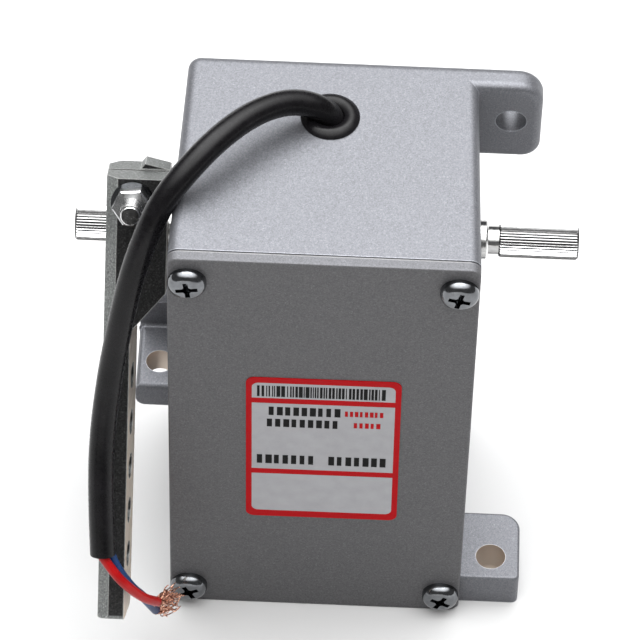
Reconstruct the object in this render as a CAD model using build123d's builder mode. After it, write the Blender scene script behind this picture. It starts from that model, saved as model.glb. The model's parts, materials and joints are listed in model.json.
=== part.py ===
"""Spring-return rotary actuator with a split-clamp lever, built as separate pieces.

Frame: origin at the centre of the base face, +Z up to the cable side, -Y to the screwed cover,
output shaft along X. All lengths are in millimetres.
"""
import math
import os

from build123d import *

os.makedirs("parts", exist_ok=True)

# ---- driving dimensions -------------------------------------------------------------------
CASE_W = 70.0            # width at the cover
CASE_W_REAR = 66.5       # width at the rear face, after the casting draft
CASE_D = 61.0            # cover face to rear face
CASE_H = 131.5           # base to top
CASE_EDGE_R = 2.5        # long edges that run front to rear
REAR_CORNER_R = 3.0      # upright corners of the rear face
CAVITY_R = 4.0
COVER_BOSS = (8.6, 2.5, 13.0)  # bosses of the cover screws: size, corner radius, depth
COVER_THREAD = (2.5, 11.0)  # radius and depth of their holes
COVER_T = 2.5
GASKET_T = 0.5
WALL = 4.0
CAVITY_X = 30.0          # half width of the cavity
COVER_SCREW_X = 30.4     # cover screws from the centre line
COVER_SCREW_Z = (6.8, 124.1)
COVER_SCREW_TURN = (28.0, 62.0, 8.0, 77.0)

MOUNT_HOLE_D = 7.15
EAR_T = 6.8              # upper rear ear, a plate in the rear plane
EAR_X = 48.4
EAR_H = 24.6
EAR_HOLE = (41.3, 119.9)
EAR_EDGE_R = 2.0
EAR_CORNER_R = (6.0, 4.5)  # upper and lower outer corners
EAR_ROOT_X = 25.0        # where the ear's plate starts inside the case
FOOT_T = 9.9             # front foot, flush with the base
FOOT_X = 49.3
FOOT_Y = (-27.5, -7.9)
FOOT_HOLE = (42.3, -21.1)
FOOT_EDGE_R = 0.8
SHELF_T = 7.1            # ledge of the left lug
SHELF_X = -45.2
SHELF_Y = (4.6, 23.6)
SHELF_Z = 31.4
SHELF_HOLE = (-39.8, 12.5)
SHELF_HOLE_D = 6.6
SHELF_EDGE_R = 1.4
LUG_TOP = 63.0           # upright of the left lug, a plate in the rear plane
LUG_HOLE = (-39.8, 51.0)

SHAFT_Z = 105.5
SHAFT_CORE_D = 12.0
SEAT_D = 10.0            # bearing seats
STEM_D = 9.0             # through the seals
NECK_D = 6.6
SPLINE_D = 8.1
SPLINE_TEETH = 36
SPLINE_FROM = 39.5
SHAFT_END = 57.8
SEAT_FROM = 24.3
STEM_FROM = 30.5
NECK_FROM = 37.0

RACE_OD = 22.0           # thin deep-groove bearing, 10 x 22 x 6
RACE_W = 6.0
BALL_D = 3.1
BALL_COUNT = 9
BALL_PCD = 16.0
BALL_GAP = 0.1

ROTOR_D = 26.0
ROTOR_L = 22.0
ROTOR_FLATS = 18.6
ROTOR_REST = 145.0       # pole direction at rest, from +Y towards +Z
AIR_GAP = 0.5
LEG_IN = 14.0            # stator legs, from the shaft plane
LEG_OUT = 23.0
CORE_Z = 20.0
BRIDGE_TOP = 64.0
CORE_TOP = 118.5
CORE_HALF = 11.0         # half the lamination stack
STRAP_Z = 84.0
STRAP_X = 26.5
COIL_X = 24.0
COIL_Z = (7.0, 77.0)
TRAVEL = 25.0            # shaft travel from the spring stop, degrees
STOP_R = 12.75
STOP_PIN_D = 3.0
STOP_PIN_AT = 270.0
SPRING_POST_AT = 235.0
SPRING_R = 8.5
SPRING_WIRE_D = 1.5
SPRING_PITCH = 2.0
SPRING_X = (-21.5, -13.5)

LEVER_TILT = 33.0        # the lever's tip leans forward by this much at rest
LEVER_X = (-50.6, -36.4)  # hub faces
LEVER_ARM_X = (-43.4, -44.4)  # inner face of the arm, at its rear and at its front edge
LEVER_TOP = -13.3        # along the arm, from the shaft axis
LEVER_TIP = 96.0
LEVER_TIP_R = 2.2
HUB_SLOPE = (14.0, 22.5)  # the hub slopes down to the arm between these
ARM_FROM = 16.0          # the arm starts inside the hub
LEVER_W = 14.0
LEVER_W_TIP = 12.6
LEVER_BEVEL = 2.6
LEVER_HOLES = (36.5, 48.0, 59.0, 70.0, 81.0)
LEVER_HOLE_D = 6.1
PINCH_U = -7.8
PINCH_X = -44.4
PINCH_D = 5.0
PINCH_END = 18.0

CABLE_D = 6.0
GROMMET_XY = (-0.2, 12.8)
GROMMET_D = 13.5

SHAFT_DIR = (1, 0, 0)


def rear_x(y):
    """Half width of the case at depth y, with the draft."""
    k = (y + CASE_D / 2) / CASE_D
    return (CASE_W + (CASE_W_REAR - CASE_W) * k) / 2


def polar(r, deg):
    """Point in the YZ plane through the shaft axis."""
    return r * math.cos(math.radians(deg)), r * math.sin(math.radians(deg))


def spline_points(tip_r, root_r, turn=0.0):
    """Outline of a V-tooth spline."""
    pts = []
    for i in range(2 * SPLINE_TEETH):
        a = math.radians(turn) + math.pi * i / SPLINE_TEETH
        r = tip_r if i % 2 == 0 else root_r
        pts.append((r * math.cos(a), r * math.sin(a)))
    return pts


def lever_plane(offset=0.0):
    """Plane along the lever: local x is world X, local y runs up the lever, normal faces forward."""
    t = math.radians(LEVER_TILT)
    up = Vector(0, math.sin(t), math.cos(t))
    fwd = Vector(0, -math.cos(t), math.sin(t))
    return Plane(origin=Vector(0, 0, SHAFT_Z) + fwd * offset, x_dir=(1, 0, 0), z_dir=fwd)


def in_lever(edge):
    """Centre of an edge in the lever's own axes: Y runs up the lever, Z faces forward."""
    return lever_plane().to_local_coords(edge.center())


def yz(x):
    """Plane square to the shaft at x: local x is world Y, local y is world Z."""
    return Plane(origin=(x, 0, SHAFT_Z), x_dir=(0, 1, 0), z_dir=(1, 0, 0))


def save(built, name, label):
    built.part.label = label
    export_step(built.part, "parts/" + name + ".step")


cover_y = -CASE_D / 2
gasket_y = cover_y + COVER_T
case_y = gasket_y + GASKET_T
rear_y = CASE_D / 2
cavity_rear = rear_y - WALL
screw_spots = [(sx * COVER_SCREW_X, z) for z in COVER_SCREW_Z for sx in (-1, 1)]

# ---- housing ------------------------------------------------------------------------------
with BuildPart() as ear_blank:
    with BuildSketch(Plane.XZ.offset(-rear_y)):
        with Locations(((EAR_ROOT_X + EAR_X) / 2, CASE_H - EAR_H / 2)):
            Rectangle(EAR_X - EAR_ROOT_X, EAR_H)
    extrude(amount=EAR_T)
    for level, radius in zip((-1, 0), EAR_CORNER_R):
        outer = ear_blank.edges().filter_by(Axis.Y).filter_by(lambda e: e.center().X > EAR_X - 0.1)
        fillet(outer.sort_by(Axis.Z)[level], radius)
    for face_y, radius in ((rear_y - EAR_T, EAR_EDGE_R), (rear_y, CASE_EDGE_R)):
        rim = [e for e in ear_blank.edges() if abs(e.center().Y - face_y) < 0.01
               and e.center().X > EAR_ROOT_X + 0.1]
        fillet(rim, radius)

with BuildPart() as housing:
    with BuildSketch(Plane.XY):
        Polygon((-CASE_W / 2, case_y), (CASE_W / 2, case_y), (rear_x(rear_y), rear_y),
                (-rear_x(rear_y), rear_y), align=None)
    extrude(amount=CASE_H)
    fillet(housing.edges().filter_by(Axis.Z).group_by(Axis.Y)[-1], REAR_CORNER_R)
    long_edges = [e for e in housing.edges() if abs(e.tangent_at(0.5).Y) > 0.9
                  and abs(e.center().X) > 30 and e.length > 40]
    fillet(long_edges, CASE_EDGE_R)
    # cavity, open to the front
    with BuildSketch(Plane.XZ.offset(-case_y)):
        with Locations((0, CASE_H / 2)):
            RectangleRounded(2 * CAVITY_X, CASE_H - 2 * WALL, CAVITY_R)
    extrude(amount=-(cavity_rear - case_y), mode=Mode.SUBTRACT)
    # corner bosses for the cover screws
    with BuildSketch(Plane.XZ.offset(-case_y)):
        for sx, z in screw_spots:
            with Locations((math.copysign(CAVITY_X - 2.3, sx), z + (1.2 if z < 60 else -1.2))):
                RectangleRounded(COVER_BOSS[0], COVER_BOSS[0], COVER_BOSS[1])
    extrude(amount=-COVER_BOSS[2], mode=Mode.ADD)
    with BuildSketch(Plane.XZ.offset(-case_y)):
        with Locations(*screw_spots):
            Circle(COVER_THREAD[0])
    extrude(amount=-COVER_THREAD[1], mode=Mode.SUBTRACT)
    # bearing bosses on both side walls
    for s in (-1, 1):
        with BuildSketch(yz(s * (CAVITY_X + 1.5))):
            Circle(14.5)
        extrude(amount=-s * (CAVITY_X + 1.5 - 23.0))
        with BuildSketch(yz(s * 36)):
            Circle(RACE_OD / 2)
        extrude(amount=-s * (36 - 24.3), mode=Mode.SUBTRACT)
        with BuildSketch(yz(s * 36)):
            Circle(8.0)
        extrude(amount=-s * 20, mode=Mode.SUBTRACT)
    # pads that carry the stator: two under the legs, one on the rear wall
    for s in (-1, 1):
        with BuildSketch(Plane.XY.offset(WALL - 0.5)):
            with Locations((0, s * (LEG_IN + LEG_OUT) / 2)):
                Rectangle(20, 8)
        extrude(amount=CORE_Z - WALL + 0.5)
    with BuildSketch(Plane.XZ.offset(-cavity_rear - 0.5)):
        with Locations((0, STRAP_Z)):
            Rectangle(20, 16)
    extrude(amount=cavity_rear + 0.5 - LEG_OUT)
    # two posts for the stator strap
    for s in (-1, 1):
        with BuildSketch(Plane.XZ.offset(-cavity_rear - 0.5)):
            with Locations((s * STRAP_X, STRAP_Z)):
                Circle(4.6)
        extrude(amount=cavity_rear + 0.5 + LEG_OUT)
    # upper ear in the rear plane, level with the top
    add(ear_blank.part)
    # front foot, flush with the base
    with BuildSketch(Plane.XY):
        with Locations(((33 + FOOT_X) / 2, sum(FOOT_Y) / 2)):
            Rectangle(FOOT_X - 33, FOOT_Y[1] - FOOT_Y[0])
    extrude(amount=FOOT_T)
    corner = [e for e in housing.edges().filter_by(Axis.Z) if e.center().X > FOOT_X - 0.1]
    fillet(ShapeList(corner).sort_by(Axis.Y)[-1], 4.5)
    corner = [e for e in housing.edges().filter_by(Axis.Z) if e.center().X > FOOT_X - 0.1]
    fillet(ShapeList(corner).sort_by(Axis.Y)[0], 1.5)
    # left lug: a ledge in front of an upright in the rear plane
    with BuildSketch(Plane.XY.offset(SHELF_Z)):
        with Locations(((SHELF_X - 32) / 2, (SHELF_Y[0] + rear_y) / 2)):
            Rectangle(-32 - SHELF_X, rear_y - SHELF_Y[0])
    extrude(amount=SHELF_T)
    with BuildSketch(Plane.XZ.offset(-rear_y)):
        with Locations(((SHELF_X - 29.5) / 2, (SHELF_Z + LUG_TOP) / 2)):
            Rectangle(-29.5 - SHELF_X, LUG_TOP - SHELF_Z)
    extrude(amount=rear_y - SHELF_Y[1])
    top_edge = [e for e in housing.edges().filter_by(Axis.Y)
                if e.center().X < SHELF_X + 0.1 and e.center().Z > LUG_TOP - 0.1]
    fillet(top_edge, 5.0)
    low_edge = [e for e in housing.edges().filter_by(Axis.Y)
                if e.center().X < SHELF_X + 0.1 and e.center().Z < SHELF_Z + 0.1]
    fillet(low_edge, 2.4)
    # rounded edges of the castings
    rim = [e for e in housing.edges() if abs(e.center().Z - FOOT_T) < 0.01
           and e.center().X > 35 and e.center().Y < 0]
    fillet(rim, FOOT_EDGE_R)
    rim = [e for e in housing.edges() if abs(e.center().Z - SHELF_Z - SHELF_T) < 0.01
           and e.center().X < -35 and SHELF_Y[0] - 1 < e.center().Y < SHELF_Y[1] - 2]
    fillet(rim, SHELF_EDGE_R)
    rim = [e for e in housing.edges().filter_by(Axis.X)
           if abs(e.center().Z - SHELF_Z - SHELF_T) < 0.01
           and e.center().X < -35 and abs(e.center().Y - SHELF_Y[1]) < 0.1]
    fillet(rim, 1.0)
    # holes of the three lugs
    with BuildSketch(Plane.XZ.offset(-rear_y)):
        with Locations(EAR_HOLE, LUG_HOLE):
            Circle(MOUNT_HOLE_D / 2)
    extrude(amount=12, mode=Mode.SUBTRACT)
    with BuildSketch(Plane.XY):
        with Locations(FOOT_HOLE):
            Circle(MOUNT_HOLE_D / 2)
    extrude(amount=FOOT_T + 1, mode=Mode.SUBTRACT)
    with BuildSketch(Plane.XY.offset(SHELF_Z)):
        with Locations(SHELF_HOLE):
            Circle(SHELF_HOLE_D / 2)
    extrude(amount=SHELF_T, mode=Mode.SUBTRACT)
    # grommet hole and the threads for the strap screws
    with BuildSketch(Plane.XY.offset(CASE_H)):
        with Locations(GROMMET_XY):
            Circle(5.0)
    extrude(amount=-WALL - 1, mode=Mode.SUBTRACT)
    for s in (-1, 1):
        with BuildSketch(Plane.XZ.offset(LEG_OUT)):
            with Locations((s * STRAP_X, STRAP_Z)):
                Circle(2.0)
        extrude(amount=-12, mode=Mode.SUBTRACT)
    # holes in the boss rims for the stop pin and the spring post
    for x, deg in ((23.0, STOP_PIN_AT), (-23.0, SPRING_POST_AT)):
        with BuildSketch(yz(x)):
            with Locations(polar(STOP_R, deg)):
                Circle(STOP_PIN_D / 2)
        extrude(amount=math.copysign(5.0, x), mode=Mode.SUBTRACT)
print("housing", housing.part.is_valid, len(housing.part.solids()), round(housing.part.volume))
save(housing, "housing", "housing")

# ---- cover and gasket ---------------------------------------------------------------------
with BuildPart() as cover_plate:
    with BuildSketch(Plane.XZ.offset(-cover_y)):
        with Locations((0, CASE_H / 2)):
            RectangleRounded(CASE_W, CASE_H, CASE_EDGE_R)
    extrude(amount=-COVER_T)
    fillet(cover_plate.faces().sort_by(Axis.Y)[0].edges(), 0.5)
    with BuildSketch(Plane.XZ.offset(-cover_y)):
        with Locations(*screw_spots):
            Circle(2.7)
    extrude(amount=-COVER_T, mode=Mode.SUBTRACT)
save(cover_plate, "cover_plate", "cover plate")

with BuildPart() as cover_gasket:
    with BuildSketch(Plane.XZ.offset(-gasket_y)):
        with Locations((0, CASE_H / 2)):
            RectangleRounded(CASE_W - 0.8, CASE_H - 0.8, CASE_EDGE_R)
            RectangleRounded(2 * CAVITY_X - 1, CASE_H - 2 * WALL - 1, 4.0, mode=Mode.SUBTRACT)
        for x, z in screw_spots:
            with Locations((math.copysign(27.2, x), z + (1.6 if z < 60 else -1.6))):
                RectangleRounded(10.6, 10.6, 2.0)
        with Locations(*screw_spots):
            Circle(2.7, mode=Mode.SUBTRACT)
    extrude(amount=-GASKET_T)
save(cover_gasket, "cover_gasket", "cover gasket")

# pan-head cross-recess screws
with BuildPart() as cover_screws:
    for (x, z), turn in zip(screw_spots, COVER_SCREW_TURN):
        at = Plane(origin=(x, cover_y, z), x_dir=(1, 0, 0), z_dir=(0, -1, 0))
        side = Plane(origin=at.origin, x_dir=(1, 0, 0), z_dir=(0, 0, 1))
        with BuildSketch(side):
            with BuildLine():
                Polyline((0, 0), (4.4, 0), (4.4, -0.9))
                ThreePointArc((4.4, -0.9), (3.75, -2.25), (2.2, -2.9))
                Polyline((2.2, -2.9), (0, -2.9), (0, 0))
            make_face()
        revolve(axis=Axis(at.origin, (0, 1, 0)))
        with BuildSketch(at):
            Circle(2.45)
        extrude(amount=-12)
        with BuildSketch(at.offset(2.95)):
            with Locations(Location((0, 0), turn)):
                Rectangle(5.0, 1.15)
                Rectangle(1.15, 5.0)
            Circle(1.1)
        extrude(amount=-1.9, taper=9, mode=Mode.SUBTRACT)
print("screws", len(cover_screws.part.solids()))
save(cover_screws, "cover_screws", "cover screws")

with BuildPart() as rating_label:
    with BuildSketch(Plane.XZ.offset(-cover_y)):
        with Locations(Location((0.9, 63.2), 0.3)):
            RectangleRounded(35.7, 53.6, 2.0)
    extrude(amount=0.2)
save(rating_label, "rating_label", "rating label")

# ---- shaft train --------------------------------------------------------------------------
with BuildPart() as output_shaft:
    for s in (-1, 1):
        steps = ((0.0, SEAT_FROM, SHAFT_CORE_D), (SEAT_FROM, STEM_FROM, SEAT_D),
                 (STEM_FROM, NECK_FROM, STEM_D), (NECK_FROM, SPLINE_FROM, NECK_D))
        for x0, x1, d in steps:
            with BuildSketch(yz(s * x0)):
                Circle(d / 2)
            extrude(amount=s * (x1 - x0))
    chamfer(output_shaft.edges().filter_by(GeomType.CIRCLE)
            .filter_by(lambda e: abs(abs(e.arc_center.X) - NECK_FROM) < 0.01
                       and abs(e.radius - STEM_D / 2) < 0.01), 0.5)
    for s in (-1, 1):
        with BuildSketch(yz(s * SPLINE_FROM)):
            Polygon(*spline_points(SPLINE_D / 2, SPLINE_D / 2 - 0.42), align=None)
        extrude(amount=s * (SHAFT_END - SPLINE_FROM))
    # bevelled ends of both splines
    with BuildSketch(Plane(origin=(0, 0, SHAFT_Z), x_dir=(1, 0, 0), z_dir=(0, -1, 0))):
        r = SPLINE_D / 2
        Polygon((-SHAFT_END, 0), (-SHAFT_END, r - 0.6), (-SHAFT_END + 0.6, r + 0.01),
                (-SPLINE_FROM - 0.5, r + 0.01), (-SPLINE_FROM, r - 0.5), (-SPLINE_FROM, 7),
                (SPLINE_FROM, 7), (SPLINE_FROM, r - 0.5), (SPLINE_FROM + 0.5, r + 0.01),
                (SHAFT_END - 0.6, r + 0.01), (SHAFT_END, r - 0.6), (SHAFT_END, 0), align=None)
    revolve(axis=Axis((0, 0, SHAFT_Z), SHAFT_DIR), mode=Mode.INTERSECT)
    pole = Plane(origin=(0, 0, SHAFT_Z), x_dir=SHAFT_DIR, z_dir=(0, *polar(1, ROTOR_REST)))
    with BuildSketch(pole):
        Circle(1.5)
    extrude(amount=20, both=True, mode=Mode.SUBTRACT)
print("shaft", output_shaft.part.is_valid, len(output_shaft.part.solids()))
save(output_shaft, "output_shaft", "output shaft")

with BuildPart() as armature:
    with BuildSketch(yz(-ROTOR_L / 2)):
        Circle(ROTOR_D / 2)
        with Locations(Location((0, 0), ROTOR_REST)):
            Rectangle(ROTOR_D + 2, ROTOR_FLATS, mode=Mode.INTERSECT)
        Circle(SHAFT_CORE_D / 2, mode=Mode.SUBTRACT)
    extrude(amount=ROTOR_L)
    with BuildSketch(pole):
        Circle(1.5)
    extrude(amount=20, both=True, mode=Mode.SUBTRACT)
    with BuildSketch(yz(-ROTOR_L / 2)):
        with Locations(polar(SPRING_R, ROTOR_REST)):
            Circle(0.95)
    extrude(amount=4.0, mode=Mode.SUBTRACT)
save(armature, "armature", "armature")

with BuildPart() as armature_pin:
    with BuildSketch(pole):
        Circle(1.5)
    extrude(amount=12, both=True)
save(armature_pin, "armature_pin", "armature pin")

# the sector carries the slot that the stop pin stands in
with BuildPart() as stop_sector:
    with BuildSketch(yz(14.0)):
        Circle(9.6)
        mid = STOP_PIN_AT - TRAVEL / 2
        with BuildLine():
            edge = [polar(16.4, mid + d) for d in (-24, 0, 24)]
            Line((0, 0), edge[0])
            ThreePointArc(*edge)
            Line(edge[2], (0, 0))
        make_face()
        Circle(SHAFT_CORE_D / 2, mode=Mode.SUBTRACT)
        with BuildLine() as slot_line:
            ThreePointArc(*[polar(STOP_R, STOP_PIN_AT + d) for d in (1.0, -TRAVEL / 2, -TRAVEL - 1.0)])
        SlotArc(slot_line.line.edge(), STOP_PIN_D + 0.2, mode=Mode.SUBTRACT)
    extrude(amount=4.0)
save(stop_sector, "stop_sector", "stop sector")

with BuildPart() as stop_pin:
    with BuildSketch(yz(13.0)):
        with Locations(polar(STOP_R, STOP_PIN_AT)):
            Circle(STOP_PIN_D / 2)
    extrude(amount=14.5)
save(stop_pin, "stop_pin", "stop pin")

with BuildPart() as spring_post:
    with BuildSketch(yz(-27.5)):
        with Locations(polar(STOP_R, SPRING_POST_AT)):
            Circle(STOP_PIN_D / 2)
    extrude(amount=8.5)
save(spring_post, "spring_post", "spring post")

# ---- bearings and seals -------------------------------------------------------------------
ball_r = BALL_D / 2
for s, side_name in ((-1, "left"), (1, "right")):
    mid_x = s * (SEAT_FROM + 0.1 + RACE_W / 2)
    axis = Axis((0, 0, SHAFT_Z), SHAFT_DIR)
    ring = Plane(origin=(mid_x, 0, SHAFT_Z), x_dir=(1, 0, 0), z_dir=(0, -1, 0))
    with BuildPart() as outer_race:
        with BuildSketch(ring):
            with Locations((0, (RACE_OD / 2 + 9.05) / 2)):
                Rectangle(RACE_W, RACE_OD / 2 - 9.05)
            with Locations((0, BALL_PCD / 2)):
                Circle(ball_r + BALL_GAP, mode=Mode.SUBTRACT)
        revolve(axis=axis)
    save(outer_race, side_name + "_bearing_outer_race", side_name + " bearing outer race")
    with BuildPart() as inner_race:
        with BuildSketch(ring):
            with Locations((0, (SEAT_D / 2 + 6.95) / 2)):
                Rectangle(RACE_W, 6.95 - SEAT_D / 2)
            with Locations((0, BALL_PCD / 2)):
                Circle(ball_r + BALL_GAP, mode=Mode.SUBTRACT)
        revolve(axis=axis)
    save(inner_race, side_name + "_bearing_inner_race", side_name + " bearing inner race")
    spots = [polar(BALL_PCD / 2, 360.0 * i / BALL_COUNT) for i in range(BALL_COUNT)]
    with BuildPart() as ball_cage:
        with BuildSketch(ring):
            with Locations((0, BALL_PCD / 2)):
                Rectangle(4.6, 1.3)
        revolve(axis=axis)
        with Locations(*[(mid_x, y, SHAFT_Z + z) for y, z in spots]):
            Sphere(ball_r + 0.05, mode=Mode.SUBTRACT)
    save(ball_cage, side_name + "_bearing_cage", side_name + " bearing cage")
    with BuildPart() as balls:
        with Locations(*[(mid_x, y, SHAFT_Z + z) for y, z in spots]):
            Sphere(ball_r)
    save(balls, side_name + "_bearing_balls", side_name + " bearing balls")
    with BuildPart() as shaft_seal:
        with BuildSketch(yz(s * 30.6)):
            Circle(RACE_OD / 2)
            Circle(STEM_D / 2 + 0.05, mode=Mode.SUBTRACT)
        extrude(amount=s * 3.1)
        with BuildSketch(yz(s * 33.7)):
            Circle(9.4)
            Circle(6.0, mode=Mode.SUBTRACT)
        extrude(amount=-s * 0.8, mode=Mode.SUBTRACT)
    save(shaft_seal, side_name + "_shaft_seal", side_name + " shaft seal")

# ---- return spring ------------------------------------------------------------------------
HOOK_TURN = 10.4         # the hooked end bears on this side of the post, degrees
SPRING_STEPS = 45


def bend_radii(points):
    """The widest arc that each corner of the route has room for."""
    radii = []
    for a, b, c in zip(points, points[1:], points[2:]):
        one, two = Vector(b) - Vector(a), Vector(c) - Vector(b)
        turn = one.get_angle(two)
        radii.append(0.45 * min(one.length, two.length) / math.tan(math.radians(turn / 2)))
    return radii


with BuildPart() as return_spring:
    wound = (ROTOR_REST - (SPRING_POST_AT - HOOK_TURN)) % 360 + 3 * 360
    step = wound / SPRING_STEPS
    vertex_r = SPRING_R / math.cos(math.radians(step / 2))
    y, z = polar(SPRING_R, ROTOR_REST)
    coil = [Vector(SPRING_X[1] + 5.5, y, SHAFT_Z + z)]
    for i in range(SPRING_STEPS + 1):
        y, z = polar(vertex_r, ROTOR_REST - step * i)
        coil.append(Vector(SPRING_X[1] - SPRING_PITCH * step * i / 360, y, SHAFT_Z + z))
    y, z = polar(15.0, SPRING_POST_AT - HOOK_TURN)
    coil.append(Vector(coil[-1].X, y, SHAFT_Z + z))
    bends = bend_radii(coil)
    bends[0], bends[-1] = 1.4, 1.4
    with BuildLine() as wire_line:
        FilletPolyline(*coil, radius=bends)
    with BuildSketch(Plane(origin=coil[0], z_dir=coil[1] - coil[0])):
        Circle(SPRING_WIRE_D / 2)
    sweep(path=wire_line.line)
print("spring", return_spring.part.is_valid, len(return_spring.part.solids()),
      round(return_spring.part.volume), [round(r, 1) for r in bends[:4]])
save(return_spring, "return_spring", "return spring")

# ---- stator and coil ----------------------------------------------------------------------
with BuildPart() as stator_core:
    with BuildSketch(yz(-CORE_HALF)):
        for s in (-1, 1):
            with Locations((s * (LEG_IN + LEG_OUT) / 2, (CORE_Z + CORE_TOP) / 2 - SHAFT_Z)):
                Rectangle(LEG_OUT - LEG_IN, CORE_TOP - CORE_Z)
            with Locations((s * (LEG_IN + 8.0) / 2, 0)):
                Rectangle(LEG_IN - 8.0, 2 * (CORE_TOP - SHAFT_Z))
        with Locations((0, (CORE_Z + BRIDGE_TOP) / 2 - SHAFT_Z)):
            Rectangle(2 * LEG_IN, BRIDGE_TOP - CORE_Z)
        Circle(ROTOR_D / 2 + AIR_GAP, mode=Mode.SUBTRACT)
    extrude(amount=2 * CORE_HALF)
save(stator_core, "stator_core", "stator core")

bridge_mid = (CORE_Z + BRIDGE_TOP) / 2
bridge_h = BRIDGE_TOP - CORE_Z
coil_mid = sum(COIL_Z) / 2
coil_h = COIL_Z[1] - COIL_Z[0]
with BuildPart() as coil_bobbin:
    with BuildSketch(Plane.XZ.offset(-13.8)):
        with Locations((0, bridge_mid)):
            RectangleRounded(2 * CORE_HALF + 3.4, bridge_h + 3.4, 1.5)
    extrude(amount=27.6)
    for y in (-13.8, 12.3):
        with BuildSketch(Plane.XZ.offset(-y)):
            with Locations((0, coil_mid)):
                RectangleRounded(2 * COIL_X + 1.6, coil_h + 1.6, 3.0)
        extrude(amount=-1.5)
    with BuildSketch(Plane.XZ.offset(-14)):
        with Locations((0, bridge_mid)):
            Rectangle(2 * CORE_HALF, bridge_h)
    extrude(amount=28, mode=Mode.SUBTRACT)
save(coil_bobbin, "coil_bobbin", "coil bobbin")

with BuildPart() as coil_winding:
    with BuildSketch(Plane.XZ.offset(-12.3)):
        with Locations((0, coil_mid)):
            RectangleRounded(2 * COIL_X, coil_h, 6.0)
        with Locations((0, bridge_mid)):
            RectangleRounded(2 * CORE_HALF + 3.4, bridge_h + 3.4, 1.5, mode=Mode.SUBTRACT)
    extrude(amount=24.6)
save(coil_winding, "coil_winding", "coil winding")

with BuildPart() as stator_strap:
    with BuildSketch(Plane.XZ.offset(LEG_OUT)):
        with Locations((0, STRAP_Z)):
            RectangleRounded(59.0, 11.0, 2.0)
        with Locations((-STRAP_X, STRAP_Z), (STRAP_X, STRAP_Z)):
            Circle(2.15, mode=Mode.SUBTRACT)
    extrude(amount=1.6)
save(stator_strap, "stator_strap", "stator strap")

with BuildPart() as strap_screws:
    for s in (-1, 1):
        spot = Plane(origin=(s * STRAP_X, -LEG_OUT - 1.6, STRAP_Z), x_dir=(1, 0, 0), z_dir=(0, -1, 0))
        with BuildSketch(spot):
            Circle(3.3)
        extrude(amount=2.2)
        with BuildSketch(spot):
            Circle(1.95)
        extrude(amount=-11)
        with BuildSketch(spot.offset(2.25)):
            with Locations(Location((0, 0), 20.0 + 30 * s)):
                Rectangle(3.8, 0.8)
                Rectangle(0.8, 3.8)
        extrude(amount=-1.3, mode=Mode.SUBTRACT)
save(strap_screws, "strap_screws", "strap screws")

# ---- cable, grommet and leads -------------------------------------------------------------
CABLE = ((0.9, 12.8, 125.0), (0.9, 12.8, 130.2), (-2.4, 12.4, 135.4), (-9.2, 11.2, 138.6),
         (-17.2, 5.6, 140.6), (-24.8, -2.6, 140.9), (-31.5, -10.1, 138.1), (-37.0, -15.0, 132.3),
         (-40.6, -19.2, 124.2), (-43.6, -23.0, 114.2), (-46.0, -26.2, 101.8),
         (-48.4, -30.0, 87.0), (-50.0, -37.0, 72.6), (-49.9, -45.4, 60.0), (-49.1, -52.5, 48.6))
WIRE_D = 2.3
RED = ((-49.4, -53.3, 49.4), (-47.5, -54.5, 46.7), (-45.4, -56.0, 44.3), (-42.9, -56.4, 41.0),
       (-40.3, -55.0, 35.7), (-38.4, -53.0, 31.4), (-36.8, -50.7, 27.6))
BLUE = ((-47.8, -51.3, 48.5), (-46.8, -52.2, 45.8), (-45.5, -53.0, 42.9), (-43.9, -53.4, 39.8),
        (-42.1, -52.4, 34.6), (-40.4, -50.1, 29.0), (-38.9, -47.3, 21.9), (-37.6, -44.9, 15.8))
INNER_RED = ((0.9, 14.1, 125.0), (0.9, 14.1, 121.8), (4.0, 14.8, 120.4), (8.5, 15.9, 120.2),
             (13.2, 17.4, 119.8), (16.4, 18.6, 115.6), (17.2, 18.9, 108.0), (17.2, 18.6, 97.0),
             (17.1, 16.6, 88.6), (17.0, 11.9, 83.2), (17.0, 8.2, 80.6), (17.0, 8.2, 77.0))
INNER_BLUE = ((0.9, 11.5, 125.0), (0.9, 11.5, 121.8), (4.4, 11.6, 120.5), (10.0, 12.6, 120.3),
              (15.6, 14.4, 119.2), (19.2, 16.2, 114.6), (20.4, 17.4, 106.0), (20.4, 17.2, 96.0),
              (20.3, 14.8, 87.6), (20.2, 9.2, 82.8), (20.2, 5.4, 80.4), (20.2, 5.4, 77.0))


def tube(points, diameter, name):
    """Round tube along a route of straight runs and tangent arcs."""
    radii = bend_radii(points)
    print(name, "radii in diameters", [round(r / diameter, 1) for r in radii])
    with BuildLine() as run:
        FilletPolyline(*points, radius=radii)
    with BuildSketch(Plane(origin=points[0], z_dir=Vector(points[1]) - Vector(points[0]))) as end:
        Circle(diameter / 2)
    sweep(end.sketch, path=run.line)
    return sum(e.length for e in run.line.edges())


def report_volume(name, solid, length, diameter):
    full = math.pi * diameter ** 2 / 4 * length
    print(name, "length", round(length, 1), "volume ratio", round(solid.volume / full, 4))


with BuildPart() as cable:
    run_length = tube(CABLE, CABLE_D, "cable")
    report_volume("cable", cable.part, run_length, CABLE_D)
save(cable, "cable", "cable")

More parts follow.
